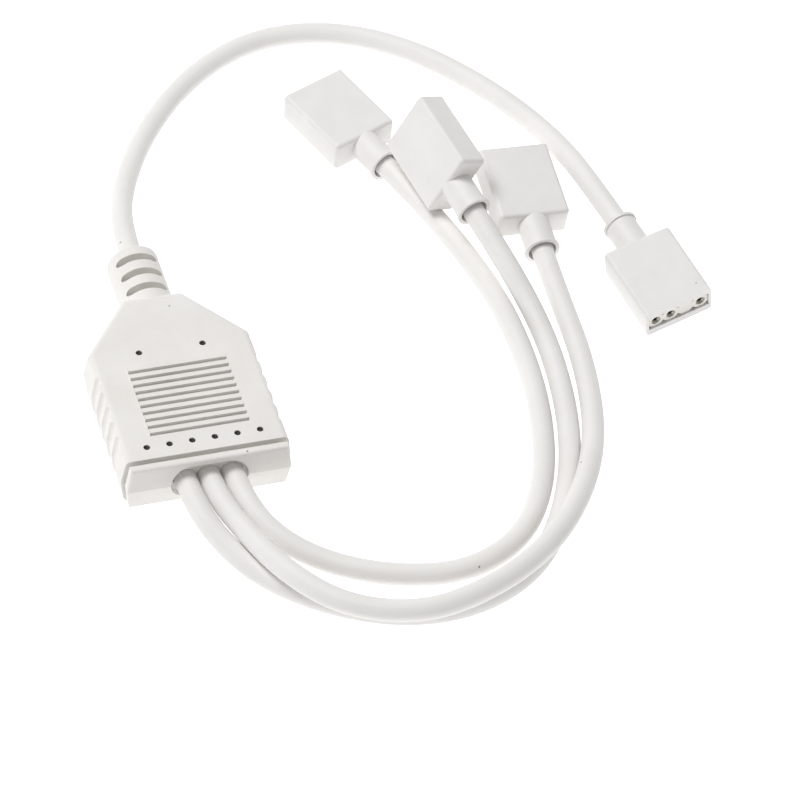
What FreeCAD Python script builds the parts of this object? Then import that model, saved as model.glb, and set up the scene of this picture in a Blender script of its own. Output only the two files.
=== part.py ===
"""RGB splitter cable: one input and three outputs that meet in an overmoulded splitter block.

Millimetres, +Z up.  The origin is the bottom centre of the splitter block, which the cables hold
slightly rolled, and +Y runs along the block towards the strain-relief neck of the input cable.  Each cable
ends in a connector shell that holds a four-position socket strip with three turned contacts.
"""
import FreeCAD, Part
import math
import os

import Sketcher
from FreeCAD import Placement, Rotation, Vector

# Driving sizes in millimetres and degrees, piece by piece
SIZES = {
    # splitter block: outline at the parting plane, half way up
    "block_width": 25.8,
    "block_length": 22.6,
    "block_thickness": 8.4,
    "block_draft": 8.0,
    "block_edge_radius": 1.0,
    "block_roll": 5.0,
    "roof_length": 10.3,
    "roof_flat_width": 9.6,
    # flange at the output end, behind a groove, with its width at the parting plane
    "groove_length": 0.65,
    "groove_depth": 1.0,
    "flange_length": 1.65,
    "flange_width": 25.0,
    "flange_height": 7.8,
    "flange_edge_radius": 0.4,
    "recess_width": 11.8,
    "recess_height": 6.2,
    "recess_depth": 1.3,
    # strain-relief neck at the input end
    "neck_length": 10.5,
    "neck_diameter": 8.0,
    "neck_edge_radius": 0.4,
    "slot_count": 3,
    "slot_length": 6.4,
    "slot_width": 1.3,
    "slot_floor": 1.95,
    "slot_pitch": 3.1,
    "slot_start": 1.75,
    # raised bars on the top face, each with a groove on its output side
    "bar_count": 10,
    "bar_length": 15.0,
    "bar_width": 0.75,
    "bar_height": 0.35,
    "bar_pitch": 1.41,
    "bar_start": 4.65,
    "bar_groove_width": 0.3,
    "bar_groove_depth": 0.3,
    # holes that the support pins of the mould leave above the inner moulding
    "pin_hole_diameter": 1.0,
    "pin_row_count": 6,
    "pin_row_pitch": 3.44,
    "pin_row_place": 2.3,
    "pin_pair_count": 2,
    "pin_pair_pitch": 9.8,
    "pin_pair_place": 21.05,
    # grip flutes in the side walls
    "flute_count": 5,
    "flute_diameter": 2.0,
    "flute_depth": 0.45,
    "flute_pitch": 3.0,
    "flute_start": 4.75,
    # inner moulding, junction board and bared cores inside the splitter
    "inner_width": 19.6,
    "inner_thickness": 3.8,
    "inner_wall": 1.4,
    "inner_length": 21.0,
    "nose_width": 8.0,
    "nose_length": 7.2,
    "board_width": 14.0,
    "board_length": 12.0,
    "board_thickness": 1.0,
    "board_place": 6.0,
    "pad_pitch": 1.4,
    "pad_length": 2.0,
    # cables
    "cable_diameter": 3.4,
    "cable_pitch": 3.55,
    "cable_clearance": 0.05,
    "exit_lead": 7.6,
    "neck_lead": 20.4,
    "core_diameter": 1.0,
    "core_circle": 1.24,
    # connector shell
    "shell_width": 11.2,
    "shell_thickness": 5.0,
    "shell_length": 13.8,
    "shell_edge_radius": 0.6,
    "shell_rear_wall": 2.0,
    "collar_diameter": 5.0,
    "collar_length": 5.4,
    "lip_diameter": 5.5,
    "lip_length": 0.5,
    "mouth_diameter": 4.4,
    "mouth_depth": 1.6,
    "potting_width": 9.2,
    "potting_height": 2.3,
    # socket strip and contacts
    "contact_pitch": 2.54,
    "position_count": 4,
    "insert_height": 2.5,
    "insert_length": 4.0,
    "insert_chamfer": 0.65,
    "insert_clearance": 0.06,
    "insert_setback": 0.3,
    "contact_diameter": 1.5,
    "contact_clearance": 0.03,
    "contact_setback": 0.1,
    "contact_bore": 0.8,
    "contact_bore_depth": 3.0,
    "contact_mouth": 1.2,
    "contact_mouth_depth": 0.25,
    "tail_diameter": 0.7,
    "tail_length": 2.2,
}

# Contacts of a socket strip, as the number of pitches from its middle; the third position stays blank
CONTACTS = {"power": 1.5, "data": 0.5, "ground": -1.5}

# Direction of each core from the middle of its cable, in degrees
CORE_ANGLES = (-30, 90, 210)

# Place of each output cable, as the number of cable pitches from the middle
OUTPUTS = {"left_output": -1, "middle_output": 0, "right_output": 1}

# Free route of each cable after its straight exit, and the turn of its connector about the cable, in degrees
ROUTES = {
    "input": [
        (3.9, 41.9, 1.9), (9.7, 53.4, 1.7), (19.1, 63.5, 1.7), (31.2, 69.4, 1.7), (44.3, 68.2, 1.7),
        (56.4, 60.0, 1.7), (65.9, 46.9, 1.7), (71.4, 31.9, 2.8), (73.0, 16.6, 4.9), (75.4, 2.8, 3.9),
    ],
    "left_output": [
        (-1.6, -33.1, 4.0), (3.1, -40.4, 2.0), (10.7, -47.5, 1.7), (20.7, -53.0, 1.7), (31.4, -54.0, 1.7),
        (41.3, -50.1, 1.7), (48.5, -41.9, 1.7), (53.2, -30.8, 1.7), (56.1, -17.9, 1.7), (57.0, -3.6, 1.7),
        (53.9, 9.5, 6.8), (51.0, 23.1, 8.95),
    ],
    "middle_output": [
        (2.2, -33.3, 4.9), (7.7, -41.9, 4.9), (14.8, -50.7, 5.3), (24.0, -55.8, 5.25), (34.4, -55.3, 5.25),
        (44.2, -49.7, 5.25), (51.8, -40.4, 4.9), (57.8, -28.2, 2.4), (60.9, -13.1, 1.7), (61.3, 2.9, 2.1),
        (61.9, 16.9, 3.45),
    ],
    "right_output": [
        (5.8, -33.3, 3.6), (11.9, -39.6, 1.85), (21.2, -45.5, 1.7), (31.7, -47.9, 1.7), (41.2, -44.3, 1.7),
        (47.5, -35.8, 1.7), (51.2, -24.5, 1.7), (53.0, -11.8, 1.7), (52.8, 2.4, 1.7), (50.3, 15.5, 1.75),
        (46.1, 28.0, 2.5), (41.2, 41.1, 3.03),
    ],
}
CONNECTOR_ROLL = {"input": 6.0, "left_output": -62.0, "middle_output": 7.0, "right_output": 2.5}

# Share of the shorter run that a bend of a cable takes up on each side of its point
BEND_SHARE = 0.45

# Distance below which two places count as one
TOUCH = 1e-3

doc = FreeCAD.newDocument("rgb_splitter_cable")
sheet = doc.addObject("Spreadsheet::Sheet", "sizes")
for row, (alias, number) in enumerate(SIZES.items(), start=1):
    sheet.set(f"A{row}", alias)
    sheet.set(f"B{row}", str(number))
    sheet.setAlias(f"B{row}", alias)
doc.recompute()

nodes = []


def size(alias):
    """Reads one size from the sheet."""
    return float(sheet.get(alias))


def name_node(thing, name):
    """Marks a document object as a finished piece of the cable."""
    thing.Label = name
    nodes.append(thing)
    return thing


def bind(thing, **formulas):
    """Ties properties of a document object to formulas over the sheet."""
    for prop, formula in formulas.items():
        thing.setExpression(prop.replace("__", "."), formula)


def origin_feature(body, role):
    """Finds an origin plane or axis of a body by its role."""
    return next(feature for feature in body.Origin.OriginFeatures if feature.Role == role)


def add_sketch(body, name, plane, offset="0"):
    """Adds a sketch on an origin plane of the body, moved along the plane's normal."""
    sketch = body.newObject("Sketcher::SketchObject", name)
    sketch.AttachmentSupport = (origin_feature(body, plane), [""])
    sketch.MapMode = "FlatFace"
    sketch.setExpression("AttachmentOffset.Base.z", offset)
    return sketch


def tie_point(sketch, geometry, point, across, along):
    """Ties a point of a sketch to formulas measured from the sketch's origin; None leaves one free."""
    rough = sketch.getPoint(geometry, point)
    for kind, start, formula in (("DistanceX", rough.x, across), ("DistanceY", rough.y, along)):
        if formula is not None:
            index = sketch.addConstraint(Sketcher.Constraint(kind, -1, 1, geometry, point, start))
            sketch.setExpression(f"Constraints[{index}]", formula)


def draw_outline(sketch, corners):
    """Draws a closed outline of straight lines through corners given as pairs of formulas."""
    first = sketch.GeometryCount
    count = len(corners)
    turn = 2 * math.pi / count
    ring = [Vector(math.cos(turn * i), math.sin(turn * i), 0) for i in range(count)]
    for i in range(count):
        sketch.addGeometry(Part.LineSegment(ring[i], ring[(i + 1) % count]), False)
    for i in range(count):
        sketch.addConstraint(Sketcher.Constraint("Coincident", first + i, 2, first + (i + 1) % count, 1))
    for i, (across, along) in enumerate(corners):
        tie_point(sketch, first + i, 1, across, along)


def draw_box(sketch, low, high):
    """Draws a rectangle between two corners given as pairs of formulas."""
    draw_outline(sketch, [low, (high[0], low[1]), high, (low[0], high[1])])


def draw_circle(sketch, across, along, diameter):
    """Draws a circle whose centre and diameter follow formulas."""
    index = sketch.addGeometry(Part.Circle(Vector(0, 0, 0), Vector(0, 0, 1), 1.0), False)
    tie_point(sketch, index, 3, across, along)
    constraint = sketch.addConstraint(Sketcher.Constraint("Diameter", index, 2.0))
    sketch.setExpression(f"Constraints[{constraint}]", diameter)


def add_pad(body, name, sketch, length, reverse=False, side="One side"):
    """Pads a sketch by a length given as a formula."""
    pad = body.newObject("PartDesign::Pad", name)
    pad.Profile = sketch
    pad.Reversed = reverse
    pad.SideType = side
    bind(pad, Length=length)
    return pad


def add_pocket(body, name, sketch, length, reverse=False, side="One side"):
    """Cuts a sketch into the body by a depth given as a formula, and makes sure that it cuts."""
    doc.recompute()
    before = body.Shape.Volume
    pocket = body.newObject("PartDesign::Pocket", name)
    pocket.Profile = sketch
    pocket.Reversed = reverse
    pocket.SideType = side
    bind(pocket, Length=length)
    doc.recompute()
    if not body.Shape.Volume < before:
        raise RuntimeError(f"{name} cuts nothing, sketch {sketch.State}, pocket {pocket.State}")
    return pocket


def add_row(body, name, feature, axis, count, pitch):
    """Repeats a feature along an origin axis of the body."""
    pattern = body.newObject("PartDesign::LinearPattern", name)
    pattern.Originals = [feature]
    pattern.Direction = (origin_feature(body, axis), [""])
    pattern.Mode = "Spacing"
    bind(pattern, Occurrences=count, Offset=pitch)
    body.Tip = pattern
    return pattern


def add_fillet(body, name, feature, radius, wanted):
    """Rounds the edges of a feature that a test picks."""
    doc.recompute()
    edges = [f"Edge{i}" for i, edge in enumerate(feature.Shape.Edges, start=1) if wanted(edge)]
    fillet = body.newObject("PartDesign::Fillet", name)
    fillet.Base = (feature, edges)
    bind(fillet, Radius=radius)
    return fillet


def lies_at(edge, axis, place):
    """Tells whether an edge lies in the plane where one coordinate has a given value."""
    low = getattr(edge.BoundBox, axis + "Min")
    high = getattr(edge.BoundBox, axis + "Max")
    return abs(low - place) < TOUCH and abs(high - place) < TOUCH


# Places along the splitter, measured from the output end of its block at the parting plane
PARTING = "sizes.block_thickness / 2"
SHOULDER = "sizes.block_length"
APEX = "(sizes.block_length + sizes.roof_length)"
INNER_END = "(sizes.inner_wall + sizes.inner_length)"
NOSE_END = "(sizes.inner_wall + sizes.inner_length + sizes.nose_length)"
FLANGE_END = "(sizes.groove_length + sizes.flange_length)"
GRIP = "(sizes.cable_diameter + 2 * sizes.cable_clearance)"

flange_end = size("groove_length") + size("flange_length")
splitter_length = flange_end + size("block_length") + size("roof_length") + size("neck_length")
parting = size("block_thickness") / 2

# The cables hold the splitter rolled, so that it lies on the lower right edge of its block
roll = math.radians(size("block_roll"))
base_half = size("block_width") / 2 - parting * math.tan(math.radians(size("block_draft")))
axis_height = base_half * math.sin(roll) + parting * math.cos(roll)
splitter_place = Placement(Vector(0, flange_end - splitter_length / 2, axis_height - parting),
                           Rotation(Vector(0, 1, 0), size("block_roll")), Vector(0, 0, parting))


def draw_inner_outline(sketch):
    """Outline of the inner moulding from above: a wide part for the board and a nose for the input cores."""
    half, nose = "sizes.inner_width / 2", "sizes.nose_width / 2"
    draw_outline(sketch, [
        ("-" + half, "sizes.inner_wall"), (half, "sizes.inner_wall"),
        (half, INNER_END), (nose, INNER_END), (nose, NOSE_END),
        ("-" + nose, NOSE_END), ("-" + nose, INNER_END), ("-" + half, INNER_END),
    ])


def make_block(body):
    """House-shaped block with walls drafted to both sides of the parting plane and a square output end."""
    half, flat = "sizes.block_width / 2", "sizes.roof_flat_width / 2"
    spare = f"({PARTING} * tan(sizes.block_draft * 1 deg))"
    outline = add_sketch(body, "block_outline", "XY_Plane", PARTING)
    draw_outline(outline, [
        ("-" + half, "-" + spare), (half, "-" + spare), (half, SHOULDER),
        (flat, APEX), ("-" + flat, APEX), ("-" + half, SHOULDER),
    ])
    block = add_pad(body, "block", outline, PARTING, side="Two sides")
    bind(block, Length2=PARTING, TaperAngle="-sizes.block_draft", TaperAngle2="-sizes.block_draft")
    end_outline = add_sketch(body, "square_end_outline", "XY_Plane", PARTING)
    draw_box(end_outline, ("-sizes.block_width", f"-2 * {spare}"), ("sizes.block_width", "0"))
    square_end = add_pocket(body, "square_end", end_outline, "2 * sizes.block_thickness", side="Symmetric")
    add_fillet(body, "block_edges", square_end, "sizes.block_edge_radius",
               lambda edge: not lies_at(edge, "Z", parting) and not lies_at(edge, "Y", 0))


def make_flange(body):
    """End flange behind a groove, with an obround recess and a bore for each output cable."""
    half, rise = "sizes.flange_width / 2", "sizes.flange_height / 2"
    plate_outline = add_sketch(body, "flange_outline", "XY_Plane", PARTING)
    draw_box(plate_outline, ("-" + half, "-" + FLANGE_END), (half, "sizes.inner_wall"))
    plate = add_pad(body, "flange_plate", plate_outline, rise, side="Two sides")
    bind(plate, Length2=rise, TaperAngle="-sizes.block_draft", TaperAngle2="-sizes.block_draft")

    web_half = f"({half} - sizes.groove_depth)"
    web_rise = f"({rise} - sizes.groove_depth)"
    groove_outline = add_sketch(body, "groove_outline", "XZ_Plane")
    draw_box(groove_outline, ("-sizes.block_width", "-sizes.block_thickness"),
             ("sizes.block_width", "2 * sizes.block_thickness"))
    draw_box(groove_outline, ("-" + web_half, f"{PARTING} - {web_rise}"),
             (web_half, f"{PARTING} + {web_rise}"))
    groove = add_pocket(body, "flange_groove", groove_outline, "sizes.groove_length", reverse=True)
    plate_back = -size("groove_length") - TOUCH
    add_fillet(body, "flange_edges", groove, "sizes.flange_edge_radius",
               lambda edge: edge.BoundBox.YMax < plate_back and not lies_at(edge, "Z", parting))

    recess_outline = add_sketch(body, "recess_outline", "XZ_Plane", FLANGE_END)
    middle = "(sizes.recess_width - sizes.recess_height) / 2"
    draw_obround(recess_outline, middle, PARTING, "sizes.recess_height / 2")
    add_pocket(body, "cable_recess", recess_outline, "sizes.recess_depth")

    bore_outline = add_sketch(body, "cable_bores", "XZ_Plane", FLANGE_END)
    for step in OUTPUTS.values():
        draw_circle(bore_outline, f"{step} * sizes.cable_pitch", PARTING, GRIP)
    add_pocket(body, "cable_bores_cut", bore_outline, f"{FLANGE_END} + sizes.inner_wall")


def draw_obround(sketch, middle, height, radius, rough=0.0):
    """Draws an obround: two lines joined by half circles, with the ends' centres at plus and minus middle.

    It is first drawn at the rough height, from which the formulas take it to its place.
    """
    first = sketch.GeometryCount
    up = Vector(0, 0, 1)
    sketch.addGeometry(Part.LineSegment(Vector(-2, rough - 1, 0), Vector(2, rough - 1, 0)), False)
    right = Part.Circle(Vector(2, rough, 0), up, 1.0)
    sketch.addGeometry(Part.ArcOfCircle(right, -math.pi / 2, math.pi / 2), False)
    sketch.addGeometry(Part.LineSegment(Vector(2, rough + 1, 0), Vector(-2, rough + 1, 0)), False)
    left = Part.Circle(Vector(-2, rough, 0), up, 1.0)
    sketch.addGeometry(Part.ArcOfCircle(left, math.pi / 2, 3 * math.pi / 2), False)
    for i in range(4):
        sketch.addConstraint(Sketcher.Constraint("Coincident", first + i, 2, first + (i + 1) % 4, 1))
    tie_point(sketch, first, 1, "-" + middle, f"{height} - {radius}")
    tie_point(sketch, first, 2, middle, f"{height} - {radius}")
    tie_point(sketch, first + 2, 1, middle, f"{height} + {radius}")
    tie_point(sketch, first + 2, 2, "-" + middle, f"{height} + {radius}")
    tie_point(sketch, first + 1, 3, middle, None)
    tie_point(sketch, first + 3, 3, "-" + middle, None)


def make_neck(body):
    """Round neck that grips the cable, with slots above and below that let it flex."""
    neck_outline = add_sketch(body, "neck_outline", "XZ_Plane", "-" + NOSE_END)
    draw_circle(neck_outline, "0", PARTING, "sizes.neck_diameter")
    neck = add_pad(body, "neck", neck_outline, f"{APEX} - {NOSE_END} + sizes.neck_length", reverse=True)
    neck_start = size("block_length") + size("roof_length")
    neck_end = neck_start + size("neck_length")
    add_fillet(body, "neck_edge", neck, "sizes.neck_edge_radius", lambda edge: lies_at(edge, "Y", neck_end))

    grip_outline = add_sketch(body, "neck_grip_outline", "XZ_Plane", f"-({APEX} + sizes.neck_length)")
    draw_circle(grip_outline, "0", PARTING, GRIP)
    add_pocket(body, "neck_grip", grip_outline, f"{APEX} + sizes.neck_length - {NOSE_END}", reverse=True)

    middle = "(sizes.slot_length - sizes.slot_width) / 2"
    for name, floor, upwards in (
        ("upper_slot", f"{PARTING} + sizes.slot_floor", True),
        ("lower_slot", f"{PARTING} - sizes.slot_floor", False),
    ):
        slot_outline = add_sketch(body, name + "_outline", "XY_Plane", floor)
        draw_obround(slot_outline, middle, f"{APEX} + sizes.slot_start", "sizes.slot_width / 2", neck_start)
        slot = add_pocket(body, name, slot_outline, "sizes.neck_diameter / 2", reverse=upwards)
        add_row(body, name + "s", slot, "Y_Axis", "sizes.slot_count", "sizes.slot_pitch")


def make_face_details(body):
    """Raised bars, the groove beside each, and the support-pin holes down to the inner moulding."""
    half = "sizes.bar_length / 2"
    bar_end = "(sizes.bar_start + sizes.bar_width)"
    bar_outline = add_sketch(body, "bar_outline", "XY_Plane", "sizes.block_thickness")
    draw_box(bar_outline, ("-" + half, "sizes.bar_start"), (half, bar_end))
    bar = add_pad(body, "bar", bar_outline, "sizes.bar_height")
    add_row(body, "bars", bar, "Y_Axis", "sizes.bar_count", "sizes.bar_pitch")

    groove_outline = add_sketch(body, "bar_groove_outline", "XY_Plane", "sizes.block_thickness")
    draw_box(groove_outline, ("-" + half, "sizes.bar_start - sizes.bar_groove_width"),
             (half, "sizes.bar_start"))
    groove = add_pocket(body, "bar_groove", groove_outline, "sizes.bar_groove_depth")
    add_row(body, "bar_grooves", groove, "Y_Axis", "sizes.bar_count", "sizes.bar_pitch")

    for name, place, count, pitch in (
        ("pin_row", "sizes.pin_row_place", "sizes.pin_row_count", "sizes.pin_row_pitch"),
        ("pin_pair", "sizes.pin_pair_place", "sizes.pin_pair_count", "sizes.pin_pair_pitch"),
    ):
        hole_outline = add_sketch(body, name + "_outline", "XY_Plane", "sizes.block_thickness")
        draw_circle(hole_outline, f"-({count} - 1) * {pitch} / 2", place, "sizes.pin_hole_diameter")
        hole = add_pocket(body, name + "_hole", hole_outline, PARTING)
        add_row(body, name, hole, "X_Axis", count, pitch)


def make_grip_flutes(body):
    """Round flutes down both side walls, which follow the draft of the walls."""
    centre = "(sizes.block_width / 2 - sizes.flute_depth + sizes.flute_diameter / 2)"
    flute_outline = add_sketch(body, "flute_outline", "XY_Plane", PARTING)
    for side in ("", "-"):
        draw_circle(flute_outline, side + centre, "sizes.flute_start", "sizes.flute_diameter")
    flute = add_pocket(body, "flute", flute_outline, PARTING, side="Two sides")
    bind(flute, Length2=PARTING, TaperAngle="sizes.block_draft", TaperAngle2="sizes.block_draft")
    add_row(body, "flutes", flute, "Y_Axis", "sizes.flute_count", "sizes.flute_pitch")


def make_housing():
    """Splitter housing: one moulding over the inner moulding and the cable ends."""
    body = doc.addObject("PartDesign::Body", "splitter_housing")
    make_block(body)
    make_grip_flutes(body)
    make_flange(body)
    make_neck(body)
    make_face_details(body)
    cavity_outline = add_sketch(body, "inner_cavity_outline", "XY_Plane", PARTING)
    draw_inner_outline(cavity_outline)
    add_pocket(body, "inner_cavity", cavity_outline, "sizes.inner_thickness", side="Symmetric")
    body.Placement = splitter_place
    return name_node(body, "splitter_housing")


def make_board():
    """Junction board that lies in the parting plane."""
    board = doc.addObject("Part::Box", "junction_board")
    bind(board, Length="sizes.board_width", Width="sizes.board_length", Height="sizes.board_thickness")
    corner = Vector(-size("board_width") / 2, size("board_place"), parting - size("board_thickness") / 2)
    board.Placement = splitter_place.multiply(Placement(corner, Rotation()))
    return name_node(board, "junction_board")


def draw_core(points):
    """A core drawn straight from point to point, with both ends square to Y."""
    pieces = []
    for start, end in zip(points, points[1:]):
        ring = Part.Wire(Part.makeCircle(size("core_diameter") / 2, start, Vector(0, 1, 0)))
        pieces.append(Part.Face(ring).extrude(end - start))
    return pieces[0].fuse(pieces[1:]) if len(pieces) > 1 else pieces[0]


def core_offset(index):
    """How far a core lies from the middle of its cable: the three lie in a triangle with its base level."""
    angle = math.radians(CORE_ANGLES[index])
    return Vector(math.cos(angle), 0, math.sin(angle)) * (size("core_circle") / 2)


def make_splitter_cores():
    """Bared cores from the cut end of each jacket to the pads on the junction board."""
    cores = []
    ride = parting + size("board_thickness") / 2 + size("core_diameter") / 2
    board_low = size("board_place")
    board_high = board_low + size("board_length")
    jacket_low = size("inner_wall")
    jacket_high = jacket_low + size("inner_length") + size("nose_length")
    ends = {name: (step, jacket_low, board_low, 1) for name, step in OUTPUTS.items()}
    ends["input"] = (0, jacket_high, board_high, -1)
    for cable, (step, jacket, edge, inward) in ends.items():
        for index, contact in enumerate(CONTACTS):
            across = (3 * step + 1 - index) * size("pad_pitch")
            start = Vector(step * size("cable_pitch"), jacket, parting) + core_offset(index)
            on_edge = Vector(across, edge, ride)
            on_pad = Vector(across, edge + inward * size("pad_length"), ride)
            core = doc.addObject("Part::Feature", f"{cable}_{contact}_splitter_core")
            core.Shape = draw_core([start, on_edge, on_pad])
            core.Placement = splitter_place
            cores.append(name_node(core, core.Name))
    return cores


def make_inner_moulding(contents):
    """Inner moulding that fills the housing's cavity around the board and the bared cores."""
    form = doc.addObject("PartDesign::Body", "inner_form")
    outline = add_sketch(form, "inner_outline", "XY_Plane", PARTING)
    draw_inner_outline(outline)
    add_pad(form, "inner_fill", outline, "sizes.inner_thickness", side="Symmetric")
    form.Placement = splitter_place
    held = doc.addObject("Part::Compound", "inner_contents")
    held.Links = contents
    moulding = doc.addObject("Part::Cut", "inner_moulding")
    moulding.Base = form
    moulding.Tool = held
    return name_node(moulding, "inner_moulding")


# Places along a connector, measured from the cut end of its cable's jacket towards the socket
CHAMBER = "(sizes.shell_length - sizes.shell_rear_wall - sizes.insert_length - sizes.insert_setback)"
COLLAR_END = "(sizes.shell_rear_wall + sizes.collar_length)"
STRIP_HALF = "(sizes.position_count * sizes.contact_pitch / 2)"

chamber = size("shell_length") - size("shell_rear_wall") - size("insert_length") - size("insert_setback")


def make_shell(cable, place):
    """Connector shell: a rounded block with a lipped collar and cavities for the strip and the potting."""
    body = doc.addObject("PartDesign::Body", cable + "_shell")
    half, rise = "sizes.shell_width / 2", "sizes.shell_thickness / 2"
    outline = add_sketch(body, cable + "_shell_outline", "XZ_Plane", "sizes.shell_rear_wall")
    draw_box(outline, ("-" + half, "-" + rise), (half, rise))
    block = add_pad(body, cable + "_shell_block", outline, "sizes.shell_length", reverse=True)
    front = size("shell_length") - size("shell_rear_wall")
    add_fillet(body, cable + "_shell_edges", block, "sizes.shell_edge_radius",
               lambda edge: not lies_at(edge, "Y", front))

    collar_outline = add_sketch(body, cable + "_collar_outline", "YZ_Plane")
    radius, lip = "sizes.collar_diameter / 2", "sizes.lip_diameter / 2"
    lip_start = f"-({COLLAR_END} - sizes.lip_length)"
    draw_outline(collar_outline, [
        ("0", "0"), ("0", radius), (lip_start, radius), (lip_start, lip), ("-" + COLLAR_END, lip),
        ("-" + COLLAR_END, "0"),
    ])
    collar = body.newObject("PartDesign::Revolution", cable + "_collar")
    collar.Profile = collar_outline
    collar.ReferenceAxis = (origin_feature(body, "Y_Axis"), [""])
    collar.Angle = 360

    mouth_outline = add_sketch(body, cable + "_mouth_outline", "XZ_Plane", COLLAR_END)
    draw_circle(mouth_outline, "0", "0", "sizes.mouth_diameter")
    add_pocket(body, cable + "_mouth", mouth_outline, "sizes.mouth_depth")
    bore_outline = add_sketch(body, cable + "_bore_outline", "XZ_Plane", COLLAR_END)
    draw_circle(bore_outline, "0", "0", GRIP)
    add_pocket(body, cable + "_bore", bore_outline, COLLAR_END)

    room = "sizes.insert_clearance"
    seat_half = f"({STRIP_HALF} + {room})"
    seat_rise = f"(sizes.insert_height / 2 + {room})"
    seat_outline = add_sketch(body, cable + "_seat_outline", "XZ_Plane", "-" + CHAMBER)
    draw_box(seat_outline, ("-" + seat_half, "-" + seat_rise), (seat_half, seat_rise))
    add_pocket(body, cable + "_seat", seat_outline, "sizes.insert_length + sizes.insert_setback")
    chamber_outline = add_sketch(body, cable + "_chamber_outline", "XZ_Plane")
    draw_potting_section(chamber_outline)
    add_pocket(body, cable + "_chamber", chamber_outline, CHAMBER)
    body.Placement = place
    return name_node(body, cable + "_shell")


def draw_potting_section(sketch):
    """Section of the potting, which fills the shell behind the strip."""
    half, rise = "sizes.potting_width / 2", "sizes.potting_height / 2"
    draw_box(sketch, ("-" + half, "-" + rise), (half, rise))


def make_insert(cable, place):
    """Socket strip: a row of octagonal cells, with a hole for each contact that is fitted."""
    body = doc.addObject("PartDesign::Body", cable + "_insert")
    pitch, rise, chamfer = "sizes.contact_pitch", "sizes.insert_height / 2", "sizes.insert_chamfer"
    cells = add_sketch(body, cable + "_cells", "XZ_Plane", "-" + CHAMBER)
    upper = []
    for i in range(int(size("position_count"))):
        left = f"{i} * {pitch} - {STRIP_HALF}"
        upper.append((left, f"{rise} - {chamfer}"))
        upper.append((f"{left} + {chamfer}", rise))
        upper.append((f"{left} + {pitch} - {chamfer}", rise))
    upper.append((STRIP_HALF, f"{rise} - {chamfer}"))
    lower = [(across, f"-({along})") for across, along in reversed(upper)]
    draw_outline(cells, upper + lower)
    add_pad(body, cable + "_strip", cells, "sizes.insert_length", reverse=True)

    holes = add_sketch(body, cable + "_holes", "XZ_Plane", "-" + CHAMBER)
    for steps in CONTACTS.values():
        across = f"{steps} * {pitch}"
        draw_circle(holes, across, "0", "sizes.contact_diameter + 2 * sizes.contact_clearance")
    add_pocket(body, cable + "_holes_cut", holes, "sizes.insert_length")
    body.Placement = place
    return name_node(body, cable + "_insert")


def make_contact(cable, contact, steps, place):
    """Turned contact: a sleeve with a bell-mouthed bore, and a tail to solder the core to."""
    body = doc.addObject("PartDesign::Body", f"{cable}_{contact}_contact")
    profile = add_sketch(body, body.Name + "_profile", "YZ_Plane")
    face = f"({CHAMBER} + sizes.insert_length - sizes.contact_setback)"
    tail_end = f"({CHAMBER} - sizes.tail_length)"
    outer, bore = "sizes.contact_diameter / 2", "sizes.contact_bore / 2"
    mouth, tail = "sizes.contact_mouth / 2", "sizes.tail_diameter / 2"
    draw_outline(profile, [
        (tail_end, "0"), (tail_end, tail), (CHAMBER, tail), (CHAMBER, outer), (face, outer), (face, mouth),
        (f"{face} - sizes.contact_mouth_depth", bore), (f"{face} - sizes.contact_bore_depth", bore),
        (f"{face} - sizes.contact_bore_depth", "0"),
    ])
    turned = body.newObject("PartDesign::Revolution", body.Name + "_turned")
    turned.Profile = profile
    turned.ReferenceAxis = (origin_feature(body, "Y_Axis"), [""])
    turned.Angle = 360
    aside = Placement(Vector(steps * size("contact_pitch"), 0, 0), Rotation())
    body.Placement = place.multiply(aside)
    return name_node(body, body.Name)


def make_connector_core(cable, contact, index, steps, place):
    """Bared core from the cut end of the jacket to the tail of its contact."""
    end = Vector(steps * size("contact_pitch"), chamber - size("tail_length"), 0)
    core = doc.addObject("Part::Feature", f"{cable}_{contact}_connector_core")
    core.Shape = draw_core([core_offset(index), end])
    core.Placement = place
    return name_node(core, core.Name)


def make_potting(cable, place, contents):
    """Potting that fills the shell around the cores and the tails of the contacts."""
    form = doc.addObject("PartDesign::Body", cable + "_potting_form")
    section = add_sketch(form, cable + "_potting_section", "XZ_Plane")
    draw_potting_section(section)
    add_pad(form, cable + "_potting_fill", section, CHAMBER, reverse=True)
    form.Placement = place
    held = doc.addObject("Part::Compound", cable + "_potting_contents")
    held.Links = contents
    potting = doc.addObject("Part::Cut", cable + "_potting")
    potting.Base = form
    potting.Tool = held
    return name_node(potting, cable + "_potting")


def cable_path(points):
    """Straight runs joined by tangent arcs, each as large as its two runs allow."""
    edges = []
    radii = []
    at = points[0]
    for before, point, after in zip(points, points[1:], points[2:]):
        come, leave = point - before, after - point
        cut = BEND_SHARE * min(come.Length, leave.Length)
        turn = come.getAngle(leave)
        radius = cut / math.tan(turn / 2)
        come.normalize()
        leave.normalize()
        start, end = point - come * cut, point + leave * cut
        inward = (leave - come).normalize()
        middle = point + inward * (radius / math.cos(turn / 2) - radius)
        edges.append(Part.LineSegment(at, start).toShape())
        edges.append(Part.Arc(start, middle, end).toShape())
        radii.append(radius)
        at = end
    edges.append(Part.LineSegment(at, points[-1]).toShape())
    return Part.Wire(edges), radii


def cable_points(cable):
    """Whole route of a cable: its straight exit from the splitter, then the free route."""
    if cable in OUTPUTS:
        start = Vector(OUTPUTS[cable] * size("cable_pitch"), size("inner_wall"), parting)
        lead = Vector(0, -size("exit_lead"), 0)
    else:
        start = Vector(0, size("inner_wall") + size("inner_length") + size("nose_length"), parting)
        lead = Vector(0, size("neck_lead"), 0)
    start = splitter_place.multVec(start)
    return [start, start + lead] + [Vector(*point) for point in ROUTES[cable]]


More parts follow.
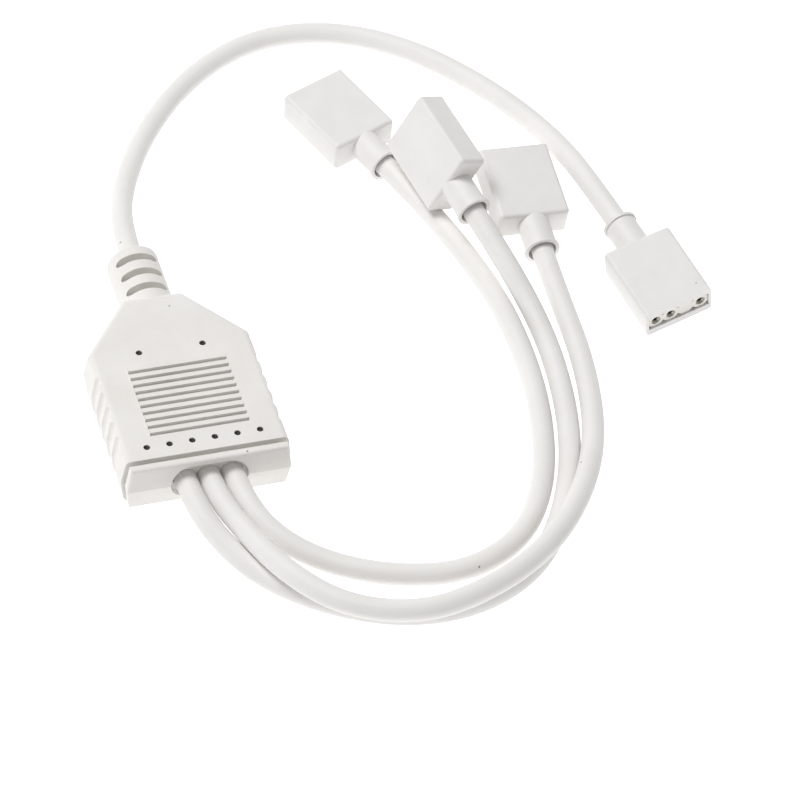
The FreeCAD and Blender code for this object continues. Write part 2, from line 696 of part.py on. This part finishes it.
def make_cable(cable):
    """Jacket of a cable, a plain round tube along its route."""
    path, radii = cable_path(cable_points(cable))
    first = path.Edges[0]
    section = Part.Wire(Part.makeCircle(size("cable_diameter") / 2, first.valueAt(first.FirstParameter),
                                        first.tangentAt(first.FirstParameter)))
    jacket = doc.addObject("Part::Feature", cable + "_cable")
    jacket.Shape = path.makePipeShell([section], True, False)
    expected = math.pi * size("cable_diameter") ** 2 / 4 * path.Length
    share = jacket.Shape.Volume / expected
    print(cable, f"length {path.Length:.1f} mm, volume {share:.4f} of its section swept")
    print("    bend radii in diameters:", [round(radius / size("cable_diameter"), 1) for radius in radii])
    return name_node(jacket, cable + "_cable")


def connector_place(cable):
    """A connector sits on the end of its cable, in line with the last run."""
    before, end = cable_points(cable)[-2:]
    run = (end - before).normalize()
    yaw = math.degrees(math.atan2(-run.x, run.y))
    pitch = math.degrees(math.asin(run.z))
    turn = Rotation(Vector(0, 0, 1), yaw) * Rotation(Vector(1, 0, 0), pitch)
    return Placement(end, turn * Rotation(Vector(0, 1, 0), CONNECTOR_ROLL[cable]))


def make_connector(cable):
    """All the pieces of one connector."""
    place = connector_place(cable)
    make_shell(cable, place)
    make_insert(cable, place)
    contents = []
    for index, (contact, steps) in enumerate(CONTACTS.items()):
        contents.append(make_contact(cable, contact, steps, place))
        contents.append(make_connector_core(cable, contact, index, steps, place))
    make_potting(cable, place, contents)


make_housing()
board = make_board()
make_inner_moulding([board] + make_splitter_cores())
for cable_name in ROUTES:
    make_cable(cable_name)
    make_connector(cable_name)
doc.recompute()

for thing in doc.Objects:
    if {"Invalid", "Error"} & set(thing.State):
        raise RuntimeError(f"{thing.Name} failed: {thing.State}")
for thing in nodes:
    if thing.Shape.isNull() or not thing.Shape.isValid():
        raise RuntimeError(f"{thing.Label} has no sound shape")

os.makedirs("parts", exist_ok=True)
for thing in nodes:
    thing.Shape.exportStep(f"parts/{thing.Label}.step")
print(len(nodes), "pieces written")
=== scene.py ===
import math

import bpy
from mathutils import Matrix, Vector


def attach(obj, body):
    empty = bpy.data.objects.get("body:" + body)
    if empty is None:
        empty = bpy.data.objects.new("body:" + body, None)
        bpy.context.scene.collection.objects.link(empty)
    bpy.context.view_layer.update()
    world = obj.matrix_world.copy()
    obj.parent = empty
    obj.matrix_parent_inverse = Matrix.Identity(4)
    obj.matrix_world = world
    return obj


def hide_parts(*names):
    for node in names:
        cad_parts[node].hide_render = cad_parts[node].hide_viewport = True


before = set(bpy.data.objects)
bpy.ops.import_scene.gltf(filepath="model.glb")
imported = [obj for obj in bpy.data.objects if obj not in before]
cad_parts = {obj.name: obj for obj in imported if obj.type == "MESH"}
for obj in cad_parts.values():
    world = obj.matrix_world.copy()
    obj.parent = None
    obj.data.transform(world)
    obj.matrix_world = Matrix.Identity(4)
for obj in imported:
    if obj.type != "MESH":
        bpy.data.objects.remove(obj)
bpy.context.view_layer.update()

# Millimetres in Blender's metres
MM = 0.001

# Cables: jacket diameter, and each route from the splitter to the connector, in millimetres
CABLE_DIAMETER = 3.4
ROUTES = {
    "input": [
        (0.0, 9.05, 5.26), (0.0, 29.45, 5.26),
        (3.2, 41.9, 1.9), (9.7, 53.1, 1.7), (19.3, 63.0, 1.7), (31.2, 68.7, 1.7), (44.0, 67.2, 1.7),
        (55.7, 59.1, 1.7), (65.1, 46.3, 1.7), (71.0, 31.8, 2.8), (73.0, 16.6, 4.9), (75.4, 2.8, 3.9),
    ],
    "left_output": [
        (-3.54, -19.15, 5.57), (-3.54, -25.4, 5.57),
        (-1.6, -33.1, 4.0), (3.1, -40.4, 2.0), (10.7, -47.5, 1.7), (20.7, -53.0, 1.7), (31.4, -54.0, 1.7),
        (41.3, -50.1, 1.7), (48.2, -41.7, 1.7), (53.2, -30.8, 1.7), (56.1, -17.9, 1.7), (57.0, -3.6, 1.7),
        (53.9, 9.5, 6.8), (51.0, 23.1, 8.95),
    ],
    "middle_output": [
        (0.0, -19.15, 5.26), (0.0, -25.4, 5.26),
        (2.1, -33.4, 5.3), (5.9, -43.0, 5.35), (12.4, -51.4, 5.1), (23.0, -55.8, 4.95), (34.0, -54.0, 5.15),
        (43.8, -49.1, 5.2), (51.8, -40.4, 4.9), (57.8, -28.2, 2.4), (60.9, -13.1, 1.7), (61.3, 2.9, 2.1),
        (61.9, 16.9, 3.45),
    ],
    "right_output": [
        (3.54, -19.15, 4.95), (3.54, -25.4, 4.95),
        (5.8, -33.3, 3.6), (11.9, -39.6, 1.85), (21.1, -45.2, 1.7), (31.7, -47.6, 1.7), (41.0, -44.1, 1.7),
        (47.2, -35.7, 1.7), (50.9, -24.5, 1.7), (52.7, -11.8, 1.7), (52.5, 2.3, 1.7), (50.0, 15.4, 1.75),
        (46.1, 28.0, 2.5), (41.2, 41.1, 3.03),
    ],
}
CONTACTS = ("power", "data", "ground")

# Fineness of a jacket's mesh, along it and round it
JACKET_STEPS_ALONG = 16
JACKET_STEPS_ROUND = 10

# Lines that the die leaves on a jacket: their width, how soon they change, and a cable's usual length
DIE_LINE_WIDTH = 0.356
DIE_LINE_LENGTH = 30.0
USUAL_CABLE_LENGTH = 150.0

# The splitter block lies rolled about the line of its input cable
BLOCK_ROLL = math.radians(5.0)
BLOCK_AXIS_HEIGHT = 5.257

# Black studs of the inner moulding in the holes of the top face; heights are from the block's middle plane
STUD_ROWS = (
    {"count": 6, "pitch": 3.44, "along": -18.25},
    {"count": 2, "pitch": 9.8, "along": 0.5},
)
STUD_DIAMETER = 0.92
STUD_FOOT = 1.91
STUD_TOP = 4.08
STUD_RIM = 0.12
STUD_DISH = 0.1
STUD_EDGE = 0.06
STUD_SIDES = 32
STUD_EDGE_STEPS = 3
STUD_SMOOTH_ANGLE = math.radians(40)

# A face looks up when its normal rises by more than this
LOOKS_UP = 0.5

# The camera looks down on a point of the floor inside the loop of the cables
VIEW_TARGET = (32.5, -11.2, 0.0)
VIEW_AZIMUTH = math.radians(-16.7)
VIEW_ELEVATION = math.radians(48.09)
VIEW_DISTANCE = 721.5
VIEW_NEAREST = 10.0
SENSOR_WIDTH = 36.0
LENS = 216.3

# Share of the cells of a speckled material that hold no speck
SPECK_FREE_SHARE = 0.6

# Sockets of the nodes for colour mixing and for arithmetic; they go by number because several share a name
MIX_SHARE, MIX_FIRST, MIX_SECOND = 0, 6, 7
MIX_RESULT = 2
MATH_FIRST, MATH_SECOND = 0, 1

# Studio: how strongly the surroundings and the floor glow, then the floor and softbox in metres and watts
STUDIO_WHITE = "#FFFFFF"
SKY_GLOW = 0.42
FLOOR_GLOW = 0.95
FLOOR_SIZE = 6.0
SOFTBOX_PLACE = (-0.26, 0.32, 0.96)
SOFTBOX_SIZE = 0.45
SOFTBOX_POWER = 7.7


def metres(place):
    """A place in millimetres as a vector in metres."""
    return Vector(place) * MM


def to_linear(colour):
    """An sRGB hex colour as linear red, green, blue and alpha."""
    channels = []
    for start in (1, 3, 5):
        value = int(colour[start:start + 2], 16) / 255
        channels.append(value / 12.92 if value <= 0.04045 else ((value + 0.055) / 1.055) ** 2.4)
    return (*channels, 1.0)


def per_metre(size):
    """Texture scale that repeats every so many millimetres."""
    return 1 / (size * MM)


def add_node(tree, kind, settings, inputs):
    """Adds a node with its settings; an input is a value or the socket that it is linked to."""
    made = tree.nodes.new(kind)
    for name, value in settings.items():
        setattr(made, name, value)
    for name, value in inputs.items():
        if isinstance(value, bpy.types.NodeSocket):
            tree.links.new(value, made.inputs[name])
        else:
            made.inputs[name].default_value = value
    return made


def start_material(name):
    """A new material, its node tree, and the node that gives its patterns their coordinates."""
    material = bpy.data.materials.new(name)
    material.use_nodes = True
    tree = material.node_tree
    tree.nodes.clear()
    return material, tree, add_node(tree, "ShaderNodeTexCoord", {}, {})


def finish_material(tree, **sockets):
    """Ends a material in one shader with the given sockets; an underscore stands for a space in a name."""
    inputs = {name.replace("_", " "): value for name, value in sockets.items()}
    shader = add_node(tree, "ShaderNodeBsdfPrincipled", {}, inputs)
    add_node(tree, "ShaderNodeOutputMaterial", {}, {"Surface": shader.outputs["BSDF"]})


def add_tones(tree, place, dark, light, patch, **noise):
    """A colour that drifts between two tones in patches of a size in millimetres, and the drift itself."""
    patches = add_node(tree, "ShaderNodeTexNoise", {}, {"Vector": place, "Scale": per_metre(patch), **noise})
    drift = patches.outputs["Fac"]
    tones = add_node(tree, "ShaderNodeMix", {"data_type": "RGBA"},
                     {MIX_SHARE: drift, MIX_FIRST: to_linear(dark), MIX_SECOND: to_linear(light)})
    return tones.outputs[MIX_RESULT], drift


def add_specks(tree, place, clean, dirt, spacing, radius):
    """Scatters dark specks over a colour, one in some cells of a random grid; sizes are in millimetres."""
    cells = add_node(tree, "ShaderNodeTexVoronoi", {}, {"Vector": place, "Scale": per_metre(spacing)})
    dot = add_node(tree, "ShaderNodeMath", {"operation": "LESS_THAN"},
                   {MATH_FIRST: cells.outputs["Distance"], MATH_SECOND: radius / spacing})
    chance = add_node(tree, "ShaderNodeSeparateColor", {}, {"Color": cells.outputs["Color"]})
    picked = add_node(tree, "ShaderNodeMath", {"operation": "GREATER_THAN"},
                      {MATH_FIRST: chance.outputs["Red"], MATH_SECOND: SPECK_FREE_SHARE})
    speck = add_node(tree, "ShaderNodeMath", {"operation": "MULTIPLY"},
                     {MATH_FIRST: dot.outputs["Value"], MATH_SECOND: picked.outputs["Value"]})
    speckled = add_node(tree, "ShaderNodeMix", {"data_type": "RGBA"},
                        {MIX_SHARE: speck.outputs["Value"], MIX_FIRST: clean, MIX_SECOND: to_linear(dirt)})
    return speckled.outputs[MIX_RESULT]


def overmoulded_tpe():
    """White thermoplastic rubber, moulded over the joint in a spark-eroded tool.

    The eye sees a soft satin white with a fine even grain, faint flow clouds and a few dark specks.
    """
    material, tree, coordinates = start_material("overmoulded_tpe")
    place = coordinates.outputs["Object"]
    white, _ = add_tones(tree, place, "#DEDBD6", "#EDEBE8", patch=8.0, Detail=4.0, Roughness=0.6)
    colour = add_specks(tree, place, white, "#7C7772", spacing=3.4, radius=0.17)
    # The real grain is about 0.05 mm; it is drawn at 0.3 mm so that it shows
    grain = add_node(tree, "ShaderNodeTexNoise", {},
                     {"Vector": place, "Scale": per_metre(0.3), "Detail": 3.0, "Roughness": 0.65})
    bump = add_node(tree, "ShaderNodeBump", {},
                    {"Height": grain.outputs["Fac"], "Strength": 0.5, "Distance": 0.12 * MM})
    gloss = add_node(tree, "ShaderNodeMapRange", {},
                     {"Value": grain.outputs["Fac"], "To Min": 0.55, "To Max": 0.7})
    finish_material(tree, Base_Color=colour, Roughness=gloss.outputs["Result"], Normal=bump.outputs["Normal"],
                    IOR=1.5)
    return material


def moulded_abs_shell():
    """White ABS, moulded in a lightly blasted tool.

    The eye sees a harder, cleaner sheen than the rubber's, with soft sink waves and hardly any grain.
    """
    material, tree, coordinates = start_material("moulded_abs_shell")
    place = coordinates.outputs["Object"]
    white, _ = add_tones(tree, place, "#DEDCDA", "#EAE8E6", patch=5.0, Detail=2.0, Roughness=0.5)
    colour = add_specks(tree, place, white, "#88847F", spacing=3.0, radius=0.12)
    waves = add_node(tree, "ShaderNodeTexNoise", {},
                     {"Vector": place, "Scale": per_metre(3.5), "Detail": 1.0})
    # The real blasting is about 0.03 mm; it is drawn at 0.2 mm so that it shows
    blast = add_node(tree, "ShaderNodeTexNoise", {},
                     {"Vector": place, "Scale": per_metre(0.2), "Detail": 2.0, "Roughness": 0.6})
    sink = add_node(tree, "ShaderNodeBump", {},
                    {"Height": waves.outputs["Fac"], "Strength": 0.3, "Distance": 0.3 * MM})
    bump = add_node(tree, "ShaderNodeBump", {},
                    {"Height": blast.outputs["Fac"], "Strength": 0.35, "Distance": 0.06 * MM,
                     "Normal": sink.outputs["Normal"]})
    gloss = add_node(tree, "ShaderNodeMapRange", {},
                     {"Value": blast.outputs["Fac"], "To Min": 0.48, "To Max": 0.62})
    finish_material(tree, Base_Color=colour, Roughness=gloss.outputs["Result"], Normal=bump.outputs["Normal"],
                    IOR=1.53)
    return material


def extruded_pvc_jacket():
    """Soft white PVC, drawn through a die over the cores.

    The eye sees a smooth satin tube with faint lines along it from the die and slow changes of tone.
    """
    material, tree, coordinates = start_material("extruded_pvc_jacket")
    place = coordinates.outputs["Object"]
    white, handling = add_tones(tree, place, "#DFDDDA", "#EDEBE9", patch=11.0, Detail=3.0, Roughness=0.55)
    colour = add_specks(tree, place, white, "#7F7A75", spacing=3.8, radius=0.15)
    # A real die leaves finer lines; they are drawn this wide so that they show
    lines_along = USUAL_CABLE_LENGTH / DIE_LINE_LENGTH
    lines_round = math.pi * CABLE_DIAMETER / DIE_LINE_WIDTH
    drawn = add_node(tree, "ShaderNodeMapping", {},
                     {"Vector": coordinates.outputs["UV"], "Scale": (lines_along, lines_round, 1.0)})
    lines = add_node(tree, "ShaderNodeTexNoise", {},
                     {"Vector": drawn.outputs["Vector"], "Scale": 1.0, "Detail": 2.0, "Roughness": 0.6})
    bump = add_node(tree, "ShaderNodeBump", {},
                    {"Height": lines.outputs["Fac"], "Strength": 0.4, "Distance": 0.1 * MM})
    gloss = add_node(tree, "ShaderNodeMapRange", {}, {"Value": handling, "To Min": 0.55, "To Max": 0.68})
    finish_material(tree, Base_Color=colour, Roughness=gloss.outputs["Result"], Normal=bump.outputs["Normal"],
                    IOR=1.54)
    return material


def moulded_pbt_strip():
    """Glass-filled PBT, moulded into the socket strips.

    The eye sees a dull, slightly cream white with fine mottling from the fibres.
    """
    material, tree, coordinates = start_material("moulded_pbt_strip")
    # Real fibres are about 0.01 mm thick; their mottling is drawn at 0.25 mm so that it shows
    cream, fibres = add_tones(tree, coordinates.outputs["Object"], "#DAD8D0", "#EAE9E4", patch=0.25,
                              Detail=4.0, Roughness=0.7, Distortion=1.5)
    bump = add_node(tree, "ShaderNodeBump", {}, {"Height": fibres, "Strength": 0.2, "Distance": 0.03 * MM})
    finish_material(tree, Base_Color=cream, Roughness=0.58, Normal=bump.outputs["Normal"], IOR=1.57)
    return material


def tinned_brass_contact():
    """Brass, turned on a lathe and tinned: a soft grey shine, duller in patches, with a warm tinge."""
    material, tree, coordinates = start_material("tinned_brass_contact")
    tin, dulling = add_tones(tree, coordinates.outputs["Object"], "#8C877D", "#B9B5AC", patch=0.5, Detail=3.0)
    gloss = add_node(tree, "ShaderNodeMapRange", {}, {"Value": dulling, "To Min": 0.22, "To Max": 0.4})
    finish_material(tree, Base_Color=tin, Metallic=1.0, Roughness=gloss.outputs["Result"])
    return material


def hot_melt_potting():
    """Hot-melt glue that fills a shell: a milky, faintly yellow gel with swirls from the nozzle."""
    material, tree, coordinates = start_material("hot_melt_potting")
    milk, _ = add_tones(tree, coordinates.outputs["Object"], "#C6C2B2", "#DAD8CE", patch=2.5,
                        Detail=2.0, Distortion=2.0)
    finish_material(tree, Base_Color=milk, Roughness=0.35, IOR=1.48)
    return material


def moulded_black_polypropylene():
    """Black polypropylene of the inner moulding, dull and faintly mottled; it shows in the pin holes."""
    material, tree, coordinates = start_material("moulded_black_polypropylene")
    black, _ = add_tones(tree, coordinates.outputs["Object"], "#151515", "#201F1F", patch=1.2, Detail=3.0)
    finish_material(tree, Base_Color=black, Roughness=0.6, IOR=1.49)
    return material


def lacquered_glass_laminate():
    """Glass-cloth laminate under green lacquer: the weave shows as small squares of two greens."""
    material, tree, coordinates = start_material("lacquered_glass_laminate")
    weave = add_node(tree, "ShaderNodeTexChecker", {},
                     {"Vector": coordinates.outputs["Object"], "Scale": per_metre(0.5),
                      "Color1": to_linear("#24573A"), "Color2": to_linear("#2E6B45")})
    finish_material(tree, Base_Color=weave.outputs["Color"], Roughness=0.3, IOR=1.55)
    return material


def extruded_pvc_core(colour_name, dark, light):
    """Coloured PVC of a core: a glossy skin with slow changes of tone."""
    material, tree, coordinates = start_material("extruded_pvc_core_" + colour_name)
    skin, _ = add_tones(tree, coordinates.outputs["Object"], dark, light, patch=2.0, Detail=2.0)
    finish_material(tree, Base_Color=skin, Roughness=0.35, IOR=1.54)
    return material


def paint_nodes(inner_plastic):
    """Gives every CAD node its material, apart from the cables, which the jackets replace."""
    by_ending = {
        "splitter_housing": overmoulded_tpe(), "inner_moulding": inner_plastic,
        "junction_board": lacquered_glass_laminate(), "_shell": moulded_abs_shell(),
        "_insert": moulded_pbt_strip(), "_potting": hot_melt_potting(), "_contact": tinned_brass_contact(),
    }
    cores = {
        "power": extruded_pvc_core("red", "#9C2F2A", "#B23A33"),
        "data": extruded_pvc_core("green", "#347645", "#3F8A52"),
        "ground": extruded_pvc_core("black", "#202020", "#2A2A2A"),
    }
    for contact, core in cores.items():
        by_ending[f"_{contact}_splitter_core"] = core
        by_ending[f"_{contact}_connector_core"] = core
    for name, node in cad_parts.items():
        for ending, material in by_ending.items():
            if name.endswith(ending):
                node.data.materials.clear()
                node.data.materials.append(material)


def on_block(across, along, height):
    """A place in the frame from one on the rolled block, in millimetres."""
    return (across * math.cos(BLOCK_ROLL) + height * math.sin(BLOCK_ROLL), along,
            BLOCK_AXIS_HEIGHT - across * math.sin(BLOCK_ROLL) + height * math.cos(BLOCK_ROLL))


def stud_places():
    """The middles of all studs, in metres."""
    places = []
    for row in STUD_ROWS:
        for index in range(row["count"]):
            across = (index - (row["count"] - 1) / 2) * row["pitch"]
            places.append(metres(on_block(across, row["along"], (STUD_TOP + STUD_FOOT) / 2)))
    return places


def model_stud(place):
    """One stud: a round peg with a softened edge and a dished top."""
    bpy.ops.object.select_all(action="DESELECT")
    bpy.ops.mesh.primitive_cylinder_add(
        vertices=STUD_SIDES, radius=STUD_DIAMETER / 2 * MM, depth=(STUD_TOP - STUD_FOOT) * MM,
        location=place, rotation=(0, BLOCK_ROLL, 0))
    stud = bpy.context.object
    bpy.ops.object.mode_set(mode="EDIT")
    bpy.ops.mesh.select_mode(type="FACE")
    bpy.ops.mesh.select_all(action="DESELECT")
    bpy.ops.object.mode_set(mode="OBJECT")
    for face in stud.data.polygons:
        face.select = face.normal.z > LOOKS_UP
    bpy.ops.object.mode_set(mode="EDIT")
    bpy.ops.mesh.inset(thickness=STUD_RIM * MM)
    bpy.ops.mesh.inset(thickness=STUD_RIM * MM, depth=-STUD_DISH * MM)
    bpy.ops.object.mode_set(mode="OBJECT")
    edge = stud.modifiers.new("edge", "BEVEL")
    edge.width = STUD_EDGE * MM
    edge.segments = STUD_EDGE_STEPS
    bpy.ops.object.modifier_apply(modifier=edge.name)
    return stud


def add_studs(material):
    """The studs of all rows as one piece: one stud is modelled, and the others are copies of it."""
    places = stud_places()
    studs = [model_stud(places[0])]
    for place in places[1:]:
        bpy.ops.object.duplicate()
        bpy.context.object.location = place
        studs.append(bpy.context.object)
    for stud in studs:
        stud.select_set(True)
    bpy.ops.object.join()
    bpy.ops.object.transform_apply(location=True, rotation=True, scale=True)
    bpy.ops.object.shade_smooth_by_angle(angle=STUD_SMOOTH_ANGLE)
    joined = bpy.context.object
    joined.name = "support_studs"
    joined.data.materials.append(material)
    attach(joined, "root")


def lay_cable(cable, material):
    """One free cable: a round jacket that follows its route as a smooth line."""
    curve = bpy.data.curves.new(cable + "_jacket", "CURVE")
    curve.dimensions = "3D"
    spline = curve.splines.new("NURBS")
    spline.points.add(len(ROUTES[cable]) - 1)
    for point, place in zip(spline.points, ROUTES[cable]):
        point.co = (*metres(place), 1.0)
    spline.order_u = 3
    spline.use_endpoint_u = True
    spline.resolution_u = JACKET_STEPS_ALONG
    curve.bevel_depth = CABLE_DIAMETER / 2 * MM
    curve.bevel_resolution = JACKET_STEPS_ROUND
    curve.use_fill_caps = True
    curve.materials.append(material)
    jacket = bpy.data.objects.new(cable + "_jacket", curve)
    bpy.context.collection.objects.link(jacket)
    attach(jacket, "root")
    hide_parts(cable + "_cable")
    pieces = [f"{cable}_{piece}" for piece in ("shell", "insert", "potting")]
    for contact in CONTACTS:
        pieces += [f"{cable}_{contact}_contact", f"{cable}_{contact}_connector_core"]


def lay_floor():
    """Plain white paper under the object, which glows as if lit from below, so that shadows stay faint."""
    bpy.ops.object.select_all(action="DESELECT")
    bpy.ops.mesh.primitive_plane_add(size=FLOOR_SIZE, location=(0, 0, 0))
    floor = bpy.context.object
    floor.name = "studio_floor"
    material, tree, _ = start_material("white_studio_paper")
    finish_material(tree, Base_Color=to_linear("#C4C4C4"), Roughness=0.9, Specular_IOR_Level=0.1,
                    Emission_Color=to_linear(STUDIO_WHITE), Emission_Strength=FLOOR_GLOW)
    floor.data.materials.append(material)


def add_softbox():
    """One large square softbox on the left, towards the back, that faces the middle of the view."""
    light = bpy.data.lights.new("softbox_left", "AREA")
    light.size = SOFTBOX_SIZE
    light.energy = SOFTBOX_POWER
    softbox = bpy.data.objects.new("softbox_left", light)
    softbox.location = SOFTBOX_PLACE
    facing = metres(VIEW_TARGET) - Vector(SOFTBOX_PLACE)
    softbox.rotation_euler = facing.to_track_quat("-Z", "Y").to_euler()
    bpy.context.collection.objects.link(softbox)


def light_studio():
    """Even white surroundings and the softbox, with colours shown as they are."""
    world = bpy.data.worlds.new("studio")
    world.use_nodes = True
    background = world.node_tree.nodes["Background"]
    background.inputs["Color"].default_value = to_linear(STUDIO_WHITE)
    background.inputs["Strength"].default_value = SKY_GLOW
    bpy.context.scene.world = world
    add_softbox()
    bpy.context.scene.view_settings.view_transform = "Standard"


def set_camera():
    """The photograph's view, with a long lens."""
    back = Vector((math.sin(VIEW_AZIMUTH) * math.cos(VIEW_ELEVATION),
                   -math.cos(VIEW_AZIMUTH) * math.cos(VIEW_ELEVATION),
                   math.sin(VIEW_ELEVATION)))
    camera = bpy.data.cameras.new("camera")
    camera.sensor_width = SENSOR_WIDTH
    camera.lens = LENS
    camera.clip_start = VIEW_NEAREST * MM
    eye = bpy.data.objects.new("camera", camera)
    eye.location = metres(VIEW_TARGET) + back * VIEW_DISTANCE * MM
    eye.rotation_euler = (-back).to_track_quat("-Z", "Y").to_euler()
    bpy.context.collection.objects.link(eye)
    bpy.context.scene.camera = eye


set_camera()
jacket_pvc = extruded_pvc_jacket()
for cable_name in ROUTES:
    lay_cable(cable_name, jacket_pvc)
inner_plastic = moulded_black_polypropylene()
paint_nodes(inner_plastic)
add_studs(inner_plastic)
lay_floor()
light_studio()
